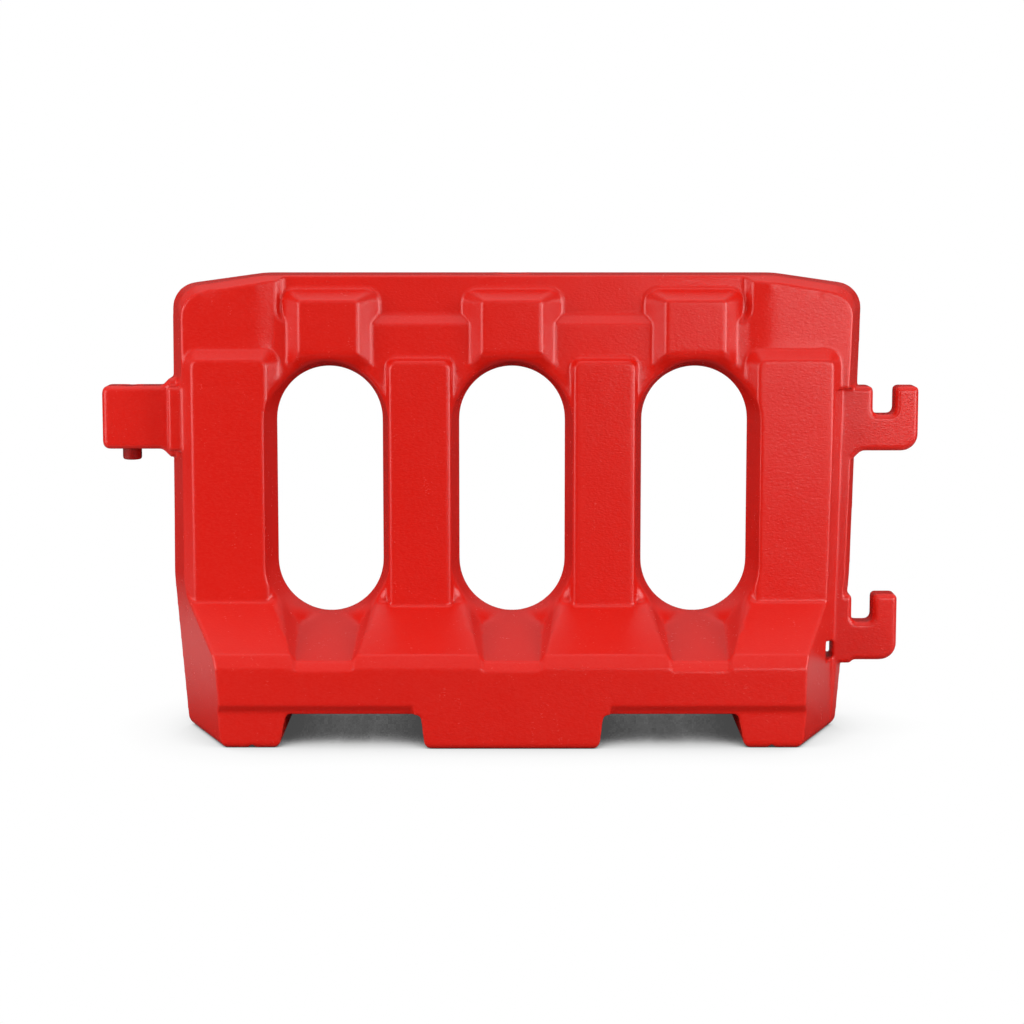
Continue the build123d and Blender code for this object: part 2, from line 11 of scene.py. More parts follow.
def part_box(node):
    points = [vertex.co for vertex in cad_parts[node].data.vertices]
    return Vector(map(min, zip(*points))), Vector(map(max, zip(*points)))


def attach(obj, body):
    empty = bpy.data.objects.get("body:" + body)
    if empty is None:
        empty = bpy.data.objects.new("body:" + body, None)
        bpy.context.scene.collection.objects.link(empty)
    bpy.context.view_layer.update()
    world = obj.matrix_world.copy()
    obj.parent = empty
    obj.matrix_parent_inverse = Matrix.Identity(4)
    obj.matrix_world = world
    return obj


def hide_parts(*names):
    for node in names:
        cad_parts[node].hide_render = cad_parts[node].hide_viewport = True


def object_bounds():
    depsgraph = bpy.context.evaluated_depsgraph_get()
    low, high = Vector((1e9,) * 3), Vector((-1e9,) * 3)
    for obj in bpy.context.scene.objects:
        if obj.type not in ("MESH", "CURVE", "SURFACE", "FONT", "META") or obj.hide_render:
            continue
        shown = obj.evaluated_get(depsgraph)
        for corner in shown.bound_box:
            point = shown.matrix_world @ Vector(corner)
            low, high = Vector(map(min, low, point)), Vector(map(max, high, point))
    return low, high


bl_info = {
    "name": "Road Barrier",
    "version": (1, 0, 0),
    "blender": (4, 5, 0),
    "location": "View3D > Sidebar > Barrier",
    "description": "Builds the moulded road barrier, its fittings and a white studio round the packed frame",
    "category": "Object",
}

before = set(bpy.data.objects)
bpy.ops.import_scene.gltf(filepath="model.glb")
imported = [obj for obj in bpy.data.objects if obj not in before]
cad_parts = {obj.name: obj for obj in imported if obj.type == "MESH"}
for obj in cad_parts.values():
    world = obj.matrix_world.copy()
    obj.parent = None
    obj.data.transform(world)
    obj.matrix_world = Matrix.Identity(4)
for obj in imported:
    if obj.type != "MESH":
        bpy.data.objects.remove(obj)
CAD_BOX = [list(corner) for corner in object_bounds()]

SHELL_NODES = ("front_half_shell", "rear_half_shell")
PIN_LOW, PIN_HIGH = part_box("coupling_pin")
NECK_LOW, NECK_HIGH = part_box("filler_neck")
FILLER_SEAL_LOW, FILLER_SEAL_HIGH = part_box("filler_gasket")
CAP_LOW, CAP_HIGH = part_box("filler_cap")
BUSH_LOW, BUSH_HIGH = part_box("drain_bush")
DRAIN_SEAL_LOW, DRAIN_SEAL_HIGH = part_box("drain_gasket")
PLUG_LOW, PLUG_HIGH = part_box("drain_plug")

RIGHT = Vector((1.0, 0.0, 0.0))
BACK = Vector((0.0, 1.0, 0.0))
UP = Vector((0.0, 0.0, 1.0))
PIN_AXIS = RIGHT * (PIN_LOW.x + PIN_HIGH.x) / 2
DRAIN_AXIS = UP * (PLUG_LOW.z + PLUG_HIGH.z) / 2

# Levels in metres, measured from the pieces that sit in the openings
CREST_Z = CAD_BOX[1][2]
REAR_Y = CAD_BOX[1][1]
WELL_FLOOR = NECK_HIGH.z - 0.004       # under the neck flange
DRAIN_FLOOR = BUSH_HIGH.y - 0.003      # under the bush flange
LUG_LOW_Z = PIN_LOW.z + 0.020          # the pin tip hangs this far below the lug
LUG_HIGH_Z = PIN_HIGH.z + 0.002        # the pin head lies this far below the lug top
PIN_SEAT_Z = PIN_HIGH.z - 0.006        # under the pin head

# Outlines of the windows on the parting plane
WINDOW_CENTRES = (-0.317, 0.0, 0.317)
WINDOW_HALF = 0.0915
WINDOW_FOOT_Z = 0.205 + WINDOW_HALF    # centres of the half-round ends
WINDOW_HEAD_Z = 0.634 - WINDOW_HALF
RIM_KEPT = 0.006                       # the rim stays crisp this far from the parting plane
BLEND_WIDTH = 0.100                    # half width of the faces that flow into a window's ends
BLEND_REACHES = (0.036, 0.026, 0.018)  # how far from the rim they flow, from wide to narrow

# Soft bends where the end panels slant to the middle panel
BEND_X = (0.414, 0.530)
BEND_Z = (0.668, 0.768)
BEND_DEPTH = 0.05                      # the panels lie further out than this

CUT_PAST = 0.03                        # cutters reach this far past what they cut
NECK_HOLE = NECK_HIGH.x - 0.0057       # radii of the holes under the flanges
BUSH_HOLE = BUSH_HIGH.x - 0.0042
FILLER_BORE = 0.023
FILLER_BODY = 0.027
DRAIN_BORE = 0.010
DRAIN_BODY = 0.014
THREAD_ROOM = 0.0004                   # between a plug and its bore

TURN = 2.0 * math.pi
ROUND_STEPS = 72
CREASE = math.radians(40.0)            # edges sharper than this are rounded or shaded sharp
WHITE = (1.0, 1.0, 1.0, 1.0)


class ShellSettings(bpy.types.PropertyGroup):
    """Shape of the moulded shell."""

    voxel: FloatProperty(
        name="Skin cell", description="Cell size of the remeshed skin", default=0.0025, unit="LENGTH")
    smoothing: IntProperty(
        name="Edge softening", description="Smoothing rounds that soften the moulded edges", default=2)
    blend: IntProperty(
        name="Window blend", description="Smoothing rounds that flow faces into the window rims", default=20)
    bend: IntProperty(
        name="Panel bend", description="Smoothing rounds that soften the end panels' bends", default=80)
    keep: FloatProperty(
        name="Faces kept", description="Share of the skin's faces that is kept", default=0.33,
        subtype="FACTOR")
    well_radius: FloatProperty(
        name="Filler well", description="Radius of the recess round the cap", default=0.035, unit="LENGTH")
    pin_bore: FloatProperty(
        name="Pin bore", description="Radius of the bore in the lug", default=0.0175, unit="LENGTH")
    pin_seat: FloatProperty(
        name="Pin head recess", description="Radius of the recess for the head", default=0.0225,
        unit="LENGTH")
    drain_recess: FloatProperty(
        name="Drain recess", description="Radius of the recess round the plug", default=0.020, unit="LENGTH")


class ColourSettings(bpy.types.PropertyGroup):
    """Colours of the materials."""

    shell: FloatVectorProperty(
        name="Shell red", description="Main colour of the moulded plastic", subtype="COLOR", size=3,
        default=(0.66, 0.008, 0.003))
    # Paler red for rubbed plastic; the shell also paints it on its convex edges as highlights.
    shell_pale_and_highlight: FloatVectorProperty(
        name="Rubbed and highlight red", description="Paler red of rubbed plastic and of painted edge highlights", subtype="COLOR", size=3,
        default=(0.80, 0.10, 0.07))
    # The pin's darker red is painted shade: it stands in for the shade under the lug.
    pin: FloatVectorProperty(
        name="Shaded pin red", description="Colour of the coupling pin, darkened as painted shade", subtype="COLOR", size=3,
        default=(0.26, 0.003, 0.002))
    cap: FloatVectorProperty(
        name="Cap black", description="Colour of the filler cap", subtype="COLOR", size=3,
        default=(0.02, 0.02, 0.022))
    cap_pale: FloatVectorProperty(
        name="Rubbed black", description="Grey of handled cap plastic", subtype="COLOR", size=3,
        default=(0.09, 0.09, 0.09))
    seal: FloatVectorProperty(
        name="Seal black", description="Colour of the filler's rubber seal", subtype="COLOR", size=3,
        default=(0.012, 0.012, 0.012))


class FittingSettings(bpy.types.PropertyGroup):
    """Shape of the screwed fittings."""

    knurls: IntProperty(name="Cap ribs", description="Grip ribs round the filler cap", default=36)
    thread_height: FloatProperty(
        name="Thread height", description="Height of the thread ridge", default=0.0003, unit="LENGTH")
    filler_pitch: FloatProperty(
        name="Filler pitch", description="Rise of the filler thread per turn", default=0.005, unit="LENGTH")
    drain_pitch: FloatProperty(
        name="Drain pitch", description="Travel of the drain thread per turn", default=0.003, unit="LENGTH")
    edge: FloatProperty(
        name="Fitting edge", description="Rounding of the fittings' edges", default=0.0008, unit="LENGTH")


class StageSettings(bpy.types.PropertyGroup):
    """Camera, lamps and floor."""

    camera_place: FloatVectorProperty(
        name="Camera place", description="Where the camera stands", subtype="TRANSLATION", size=3,
        default=(0.0, -4.4, 0.93))
    camera_aim: FloatVectorProperty(
        name="Camera aim", description="Point that the camera looks at", subtype="TRANSLATION", size=3,
        default=(0.0, 0.0, 0.378))
    lens: FloatProperty(name="Lens", description="Focal length in millimetres", default=89.1)
    ambient: FloatProperty(name="Ambient", description="Strength of the room light", default=0.56)
    backdrop: FloatProperty(name="Backdrop", description="Light that comes from behind", default=1.4)
    bounce: FloatProperty(
        name="Floor bounce", description="Share of light that the floor sends back", default=0.32,
        subtype="FACTOR")
    contact: FloatProperty(
        name="Contact shadow", description="How far the shadow reaches over the floor", default=0.15,
        unit="LENGTH")
    key_light: FloatProperty(
        name="Key", description="Power of the high front lamp", default=8.0, unit="POWER")
    left_light: FloatProperty(
        name="Left", description="Power of the left lamp", default=52.0, unit="POWER")
    right_light: FloatProperty(
        name="Right", description="Power of the right lamp", default=49.0, unit="POWER")
    top_light: FloatProperty(
        name="Top", description="Power of the overhead lamp", default=8.0, unit="POWER")
    rim_light: FloatProperty(
        name="Rims", description="Power of each rear side highlight", default=1.2, unit="POWER")
    glint_light: FloatProperty(
        name="Glints", description="Power of the highlight on the faces to the right", default=58.0,
        unit="POWER")
    sheen_light: FloatProperty(
        name="Sheen", description="Power of the highlight on the right end", default=23.0, unit="POWER")


class Wire:
    """A shader output that takes part in Python arithmetic."""

    def __init__(self, nodes, socket):
        self.nodes = nodes
        self.socket = socket

    def __add__(self, other):
        return self.nodes.math("ADD", self, other)

    def __sub__(self, other):
        return self.nodes.math("SUBTRACT", self, other)

    def __rsub__(self, other):
        return self.nodes.math("SUBTRACT", other, self)

    def __mul__(self, other):
        return self.nodes.math("MULTIPLY", self, other)

    def __truediv__(self, other):
        return self.nodes.math("DIVIDE", self, other)

    def __rtruediv__(self, other):
        return self.nodes.math("DIVIDE", other, self)

    def __abs__(self):
        return self.nodes.math("ABSOLUTE", self)

    __radd__ = __add__
    __rmul__ = __mul__


class Nodes:
    """Node tree of a material or of the world."""

    def __init__(self, owner):
        owner.use_nodes = True
        self.tree = owner.node_tree
        self.tree.nodes.clear()

    def node(self, kind, inputs, output=0, **values):
        """Add a node, set it up, then give its sockets constants or links; returns one output."""
        made = self.tree.nodes.new("ShaderNode" + kind)
        for key, value in values.items():
            setattr(made, key, value)
        for key, value in inputs.items():
            if isinstance(value, Wire):
                self.tree.links.new(value.socket, made.inputs[key])
            else:
                made.inputs[key].default_value = value
        return Wire(self, made.outputs[output] if made.outputs else None)

    def math(self, operation, *values):
        return self.node("Math", dict(enumerate(values)), operation=operation)

    def place(self, kind="Object"):
        return self.node("TexCoord", {}, output=kind)

    def stretched(self, place, factors):
        return self.node("VectorMath", {0: place, 1: factors}, operation="MULTIPLY")

    def noise(self, place, scale, detail=2.0, roughness=0.5):
        inputs = {"Vector": place, "Scale": scale, "Detail": detail, "Roughness": roughness}
        return self.node("TexNoise", inputs, output="Fac")

    def steps(self, value, *stops):
        """Remap a value through a grey ramp of (place, level) stops."""
        ramp = self.node("ValToRGB", {"Fac": value})
        elements = ramp.socket.node.color_ramp.elements
        while len(elements) < len(stops):
            elements.new(1.0)
        for element, (place, level) in zip(elements, stops):
            element.position = place
            element.color = (level, level, level, 1.0)
        return ramp

    def mix(self, factor, first, second):
        return self.node("Mix", {0: factor, 6: first, 7: second}, output=2, data_type="RGBA")

    def bump(self, height, distance, strength, **below):
        """Bump over a surface, or over another bump given as Normal."""
        inputs = {"Height": height, "Distance": distance, "Strength": strength, **below}
        return self.node("Bump", inputs)

    def ray(self, kind):
        return self.node("LightPath", {}, output="Is %s Ray" % kind)

    def either(self, first, second):
        return self.math("MAXIMUM", first, second)


def new_material(name):
    """Empty material and its nodes."""
    material = bpy.data.materials.new(name)
    return material, Nodes(material)


def colour(value):
    """Four-channel colour from a property."""
    return (*value, 1.0)


def moulded_plastic(name, main, pale, seam_height):
    """Blow-moulded polyethylene: slow waves, leathery grain, rubbed patches, a paler red painted on convex
    edges as highlights and a parting seam on Y = 0.

    Noise scales are in cells per metre, and bump distances in metres.
    """
    seam_half = 0.0016
    material, nodes = new_material(name)
    place = nodes.place()
    waves = nodes.noise(place, 9.0, detail=1.0)
    grain = nodes.noise(nodes.stretched(place, (0.5, 1.0, 1.0)), 400.0, detail=2.0, roughness=0.6)
    blotch = nodes.noise(place, 26.0, detail=4.0, roughness=0.55)
    streaks = nodes.noise(nodes.stretched(place, (1.0, 1.0, 0.12)), 130.0, detail=3.0)
    rubs = nodes.steps(nodes.noise(place, 140.0, detail=6.0, roughness=0.7), (0.62, 0.0), (0.78, 0.35))
    across = nodes.node("SeparateXYZ", {"Vector": place}, output="Y")
    seam = nodes.steps(abs(across) / seam_half, (0.0, 1.0), (1.0, 0.0))
    pointed = nodes.node("NewGeometry", {}, output="Pointiness")
    # Painted highlight: paler red on convex edges, found by pointiness, stands in for reflections on the
    # rounded edges.
    edges = nodes.steps(pointed, (0.525, 0.0), (0.58, 1.0)) * (0.4 + blotch)
    speckle = nodes.steps(grain, (0.40, 0.0), (0.66, 1.0))
    # Rubs, blotches and speckles are wear and random tone; the edge part is painted highlight.
    wear_and_edge_highlight = rubs * 0.06 + blotch * 0.02 + edges * 0.30 + speckle * 0.05
    tone = nodes.mix(wear_and_edge_highlight, colour(main), colour(pale))
    roughness = 0.16 + blotch * 0.05 + streaks * 0.05 + grain * 0.08 + rubs * 0.10
    normal = nodes.bump(waves, 0.0016, 0.5)
    normal = nodes.bump(grain, 0.0004, 0.85, Normal=normal)
    normal = nodes.bump(seam, seam_height, 1.0, Normal=normal)
    surface = nodes.node("BsdfPrincipled", {
        "Base Color": tone, "Roughness": roughness, "Normal": normal, "IOR": 1.5})
    nodes.node("OutputMaterial", {"Surface": surface})
    return material


def fitting_plastic(name, main, pale, rough):
    """Injection-moulded plastic with fine spark grain and light handling marks."""
    material, nodes = new_material(name)
    place = nodes.place()
    grain = nodes.noise(place, 2600.0)
    marks = nodes.steps(nodes.noise(place, 320.0, detail=5.0, roughness=0.65), (0.55, 0.0), (0.8, 0.6))
    tone = nodes.mix(marks * 0.4, colour(main), colour(pale))
    normal = nodes.bump(grain, 0.00005, 0.6)
    surface = nodes.node("BsdfPrincipled", {
        "Base Color": tone, "Roughness": rough + marks * 0.15, "Normal": normal, "IOR": 1.5})
    nodes.node("OutputMaterial", {"Surface": surface})
    return material


def seal_rubber(name, main):
    """Dull seal rubber with a dusty bloom."""
    dust = (0.06, 0.06, 0.06)
    material, nodes = new_material(name)
    bloom = nodes.noise(nodes.place(), 240.0, detail=4.0)
    tone = nodes.mix(bloom * 0.3, colour(main), colour(dust))
    normal = nodes.bump(bloom, 0.0001, 0.5)
    surface = nodes.node("BsdfPrincipled", {
        "Base Color": tone, "Roughness": 0.75 + bloom * 0.15, "Normal": normal})
    nodes.node("OutputMaterial", {"Surface": surface})
    return material


def settings():
    """The barrier's settings in the scene."""
    return bpy.context.scene.barrier


def packed_material(slot):
    """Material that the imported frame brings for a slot."""
    return bpy.data.materials[slot]


def put(name, mesh, body, material, node):
    """Put a finished mesh in the scene, riding on its body in place of its CAD node."""
    piece = bpy.data.objects.new(name, mesh)
    bpy.context.scene.collection.objects.link(piece)
    mesh.materials.clear()
    mesh.materials.append(material)
    mesh.polygons.foreach_set("use_smooth", [True] * len(mesh.polygons))
    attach(piece, body)
    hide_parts(node)
    return piece


def mesh_of(name, bm):
    """Mesh made from a bmesh, which is freed."""
    mesh = bpy.data.meshes.new(name)
    bm.to_mesh(mesh)
    bm.free()
    return mesh


def bmesh_of(mesh):
    """Working copy of a mesh."""
    bm = bmesh.new()
    bm.from_mesh(mesh)
    return bm


def modified(mesh, kind, **values):
    """New mesh with one modifier applied."""
    holder = bpy.data.objects.new(mesh.name, mesh)
    bpy.context.scene.collection.objects.link(holder)
    modifier = holder.modifiers.new(kind, kind)
    for key, value in values.items():
        setattr(modifier, key, value)
    graph = bpy.context.evaluated_depsgraph_get()
    result = bpy.data.meshes.new_from_object(holder.evaluated_get(graph), depsgraph=graph)
    bpy.data.objects.remove(holder)
    return result


def without(mesh, cutter_mesh):
    """New mesh with a cutter taken away."""
    cutter = bpy.data.objects.new(cutter_mesh.name, cutter_mesh)
    bpy.context.scene.collection.objects.link(cutter)
    result = modified(mesh, "BOOLEAN", operation="DIFFERENCE", object=cutter, solver="MANIFOLD")
    bpy.data.objects.remove(cutter)
    return result


def add_cylinder(bm, radius, start, end):
    """Closed cylinder between two points."""
    along = end - start
    turn = along.to_track_quat("Z", "Y").to_matrix().to_4x4()
    bmesh.ops.create_cone(bm, cap_ends=True, segments=ROUND_STEPS, radius1=radius, radius2=radius,
                          depth=along.length, matrix=Matrix.Translation((start + end) / 2) @ turn)


def fill_openings(bm, shape):
    """Plug the filler, drain and pin openings so that the skin closes over them."""
    gap = 0.00005
    below = 0.006
    lug_top = PIN_AXIS + UP * (LUG_HIGH_Z - gap)
    add_cylinder(bm, shape.well_radius - gap, UP * (WELL_FLOOR - below), UP * (CREST_Z - gap))
    add_cylinder(bm, shape.pin_bore - gap, PIN_AXIS + UP * (LUG_LOW_Z + gap), lug_top)
    add_cylinder(bm, shape.pin_seat - gap, PIN_AXIS + UP * PIN_SEAT_Z, lug_top)
    add_cylinder(bm, shape.drain_recess - gap, DRAIN_AXIS + BACK * (DRAIN_FLOOR - below),
                 DRAIN_AXIS + BACK * (REAR_Y - gap))


def recess_cutter(shape):
    """Solids that cut the filler well, the seat of the pin head and the drain recess."""
    bm = bmesh.new()
    add_cylinder(bm, shape.well_radius, UP * WELL_FLOOR, UP * (CREST_Z + CUT_PAST))
    add_cylinder(bm, shape.pin_seat, PIN_AXIS + UP * PIN_SEAT_Z, PIN_AXIS + UP * (LUG_HIGH_Z + CUT_PAST))
    add_cylinder(bm, shape.drain_recess, DRAIN_AXIS + BACK * DRAIN_FLOOR,
                 DRAIN_AXIS + BACK * (REAR_Y + CUT_PAST))
    return mesh_of("recess_cutter", bm)


def bore_cutter(shape):
    """Solids that cut the holes for the filler neck, the coupling pin and the drain bush."""
    bm = bmesh.new()
    add_cylinder(bm, NECK_HOLE, UP * (NECK_LOW.z - CUT_PAST), UP * (WELL_FLOOR + CUT_PAST))
    add_cylinder(bm, shape.pin_bore, PIN_AXIS + UP * (LUG_LOW_Z - CUT_PAST),
                 PIN_AXIS + UP * (LUG_HIGH_Z + CUT_PAST))
    add_cylinder(bm, BUSH_HOLE, DRAIN_AXIS + BACK * (BUSH_LOW.y - CUT_PAST),
                 DRAIN_AXIS + BACK * (DRAIN_FLOOR + CUT_PAST))
    return mesh_of("bore_cutter", bm)


def smooth(bm, verts, rounds):
    """Move vertices half way to the middle of their neighbours, a number of times."""
    for _ in range(rounds):
        bmesh.ops.smooth_vert(bm, verts=verts, factor=0.5, use_axis_x=True, use_axis_y=True, use_axis_z=True)


def beside_window(point, reach):
    """Whether a point lies within reach of the rim at the head or the foot of a window."""
    across = min(abs(point.x - centre) for centre in WINDOW_CENTRES)
    if across > BLEND_WIDTH or abs(point.y) < RIM_KEPT or WINDOW_FOOT_Z < point.z < WINDOW_HEAD_Z:
        return False
    middle = WINDOW_HEAD_Z if point.z > WINDOW_HEAD_Z else WINDOW_FOOT_Z
    return math.hypot(across, point.z - middle) < WINDOW_HALF + reach


def on_panel_bend(point):
    """Whether a point lies on the soft bend where an end panel slants to the middle panel."""
    along = BEND_X[0] < abs(point.x) < BEND_X[1]
    up = BEND_Z[0] < point.z < BEND_Z[1]
    return along and up and abs(point.y) > BEND_DEPTH


def soft_skin(shape):
    """Outer skin of both half shells, remeshed and softened like a blow moulding."""
    bm = bmesh.new()
    for name in SHELL_NODES:
        bm.from_mesh(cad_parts[name].data)
    bmesh.ops.remove_doubles(bm, verts=bm.verts, dist=1e-5)
    fill_openings(bm, shape)
    joined = mesh_of("shell_copy", bm)
    bm = bmesh_of(modified(joined, "REMESH", mode="VOXEL", voxel_size=shape.voxel, adaptivity=0.0))
    smooth(bm, bm.verts, shape.smoothing)
    smooth(bm, [vert for vert in bm.verts if on_panel_bend(vert.co)], shape.bend)
    for reach in BLEND_REACHES:
        smooth(bm, [vert for vert in bm.verts if beside_window(vert.co, reach)], shape.blend)
    return modified(mesh_of("soft_skin", bm), "DECIMATE", decimate_type="COLLAPSE", ratio=shape.keep)


def half_of(skin, side, name):
    """One side of the skin, closed on the parting plane."""
    bm = bmesh_of(skin)
    cut = bmesh.ops.bisect_plane(bm, geom=bm.verts[:] + bm.edges[:] + bm.faces[:], dist=1e-6,
                                 plane_co=(0, 0, 0), plane_no=(0, -side, 0), clear_outer=True)
    rim = [part for part in cut["geom_cut"] if isinstance(part, bmesh.types.BMEdge)]
    bmesh.ops.triangle_fill(bm, edges=rim, use_beauty=True)
    bmesh.ops.recalc_face_normals(bm, faces=bm.faces)
    return mesh_of(name, bm)


class BARRIER_OT_shells(bpy.types.Operator):
    """Build the two soft-edged half shells"""

    bl_idname = "barrier.shells"
    bl_label = "Half shells"

    def execute(self, context):
        shape = settings().shell
        tones = settings().colour
        skin = without(soft_skin(shape), recess_cutter(shape))
        skin = without(skin, bore_cutter(shape))
        plastic = moulded_plastic("red_polyethylene", tones.shell, tones.shell_pale_and_highlight, seam_height=0.0006)
        for side, node in zip((-1, 1), SHELL_NODES):
            put(node + "_skin", half_of(skin, side, node), "barrier", plastic, node)
        return {"FINISHED"}


def lathe(points, axis, centre):
    """Turned solid from (radius, along) points, which start and end on the axis or make a closed ring."""
    bm = bmesh.new()
    verts = [bm.verts.new(centre + RIGHT * radius + axis * along) for radius, along in points]
    edges = [bm.edges.new(pair) for pair in zip(verts, verts[1:])]
    if points[0][0] > 0.0:
        edges.append(bm.edges.new((verts[-1], verts[0])))
    bmesh.ops.spin(bm, geom=verts + edges, cent=centre, axis=axis, angle=TURN, steps=ROUND_STEPS,
                   use_merge=True)
    bmesh.ops.remove_doubles(bm, verts=bm.verts, dist=1e-6)
    bmesh.ops.recalc_face_normals(bm, faces=bm.faces)
    return bm


def round_edges(bm, edges, width):
    """Give edges a round of three facets."""
    bmesh.ops.bevel(bm, geom=edges, offset=width, offset_type="OFFSET", affect="EDGES", segments=3,
                    profile=0.5, material=-1, clamp_overlap=True)


def soften(bm, width):
    """Round the edges that are sharper than the crease angle."""
    sharp = [edge for edge in bm.edges if edge.is_manifold and edge.calc_face_angle() > CREASE]
    round_edges(bm, sharp, width)


def add_thread(bm, radius, height, pitch, start, turns, axis, centre):
    """Helical ridge that stands out round an axis, sunk a little into its shank."""
    sunk = 0.0004
    half = pitch * 0.3
    steps_per_turn = 40
    steps = int(turns * steps_per_turn)
    corners = ((radius - sunk, -half), (radius + height, -half / 3), (radius + height, half / 3),
               (radius - sunk, half))
    verts = [bm.verts.new(centre + RIGHT * out + axis * (start + along)) for out, along in corners]
    loop = [bm.edges.new((verts[index], verts[index - 1])) for index in range(len(verts))]
    bm.faces.new(verts)
    made = bmesh.ops.spin(bm, geom=verts + loop, cent=centre, axis=axis, dvec=axis * (pitch * turns / steps),
                          angle=TURN * turns, steps=steps, use_merge=False)
    last = [part for part in made["geom_last"] if isinstance(part, bmesh.types.BMEdge)]
    bmesh.ops.edgeloop_fill(bm, edges=last)
    bmesh.ops.recalc_face_normals(bm, faces=bm.faces)


class BARRIER_OT_pin(bpy.types.Operator):
    """Build the hollow coupling pin with its flanged head"""

    bl_idname = "barrier.pin"
    bl_label = "Coupling pin"

    def execute(self, context):
        tones = settings().colour
        # The pin's darker red is painted shade from under the lug; its edges pale to the shell red as
        # painted highlights.
        plastic = moulded_plastic("red_pin_plastic", tones.pin, tones.shell, seam_height=0.0)
        mesh = mesh_of("coupling_pin", lathe(self.profile(), UP, PIN_AXIS))
        piece = put("coupling_pin_turned", mesh, "pin", plastic, "coupling_pin")
        piece.data.set_sharp_from_angle(angle=CREASE)
        return {"FINISHED"}

    def profile(self):
        """Section of the pin as (radius, height): dished tip, step, shank, flanged head and blind bore."""
        head = (PIN_HIGH.x - PIN_LOW.x) / 2
        shank = head - 0.005
        tip = shank - 0.0005
        bore = 0.011
        low = PIN_LOW.z
        high = PIN_HIGH.z
        seat = PIN_SEAT_Z
        return (
            (0.0, low + 0.0010), (0.0060, low + 0.0010), (0.0070, low), (tip - 0.0050, low),
            (tip - 0.0022, low + 0.0006), (tip - 0.0006, low + 0.0022), (tip, low + 0.0050),
            (tip, low + 0.0185), (shank, low + 0.0195), (shank, seat), (head - 0.0008, seat),
            (head, seat + 0.0008), (head, high - 0.0012), (head - 0.0012, high), (bore + 0.0015, high),
            (bore, high - 0.0015), (bore, low + 0.0120), (bore - 0.0020, low + 0.0100), (0.0, low + 0.0100),
        )


def sealing_ring(name, outer, inner, start, end, axis, centre):
    """Flat seal with rounded edges."""
    rounding = 0.3 * (end - start)
    bm = lathe(((inner, start), (outer, start), (outer, end), (inner, end)), axis, centre)
    soften(bm, rounding)
    return mesh_of(name, bm)


def flanged_bush(name, radii, levels, axis, centre):
    """Bush with a flange: radii of bore, body and flange; levels of its low end, flange foot and top."""
    bore, body, flange = radii
    low, foot, top = levels
    section = ((bore, low), (body, low), (body, foot), (flange, foot), (flange, top), (bore, top))
    bm = lathe(section, axis, centre)
    soften(bm, settings().fitting.edge)
    return mesh_of(name, bm)


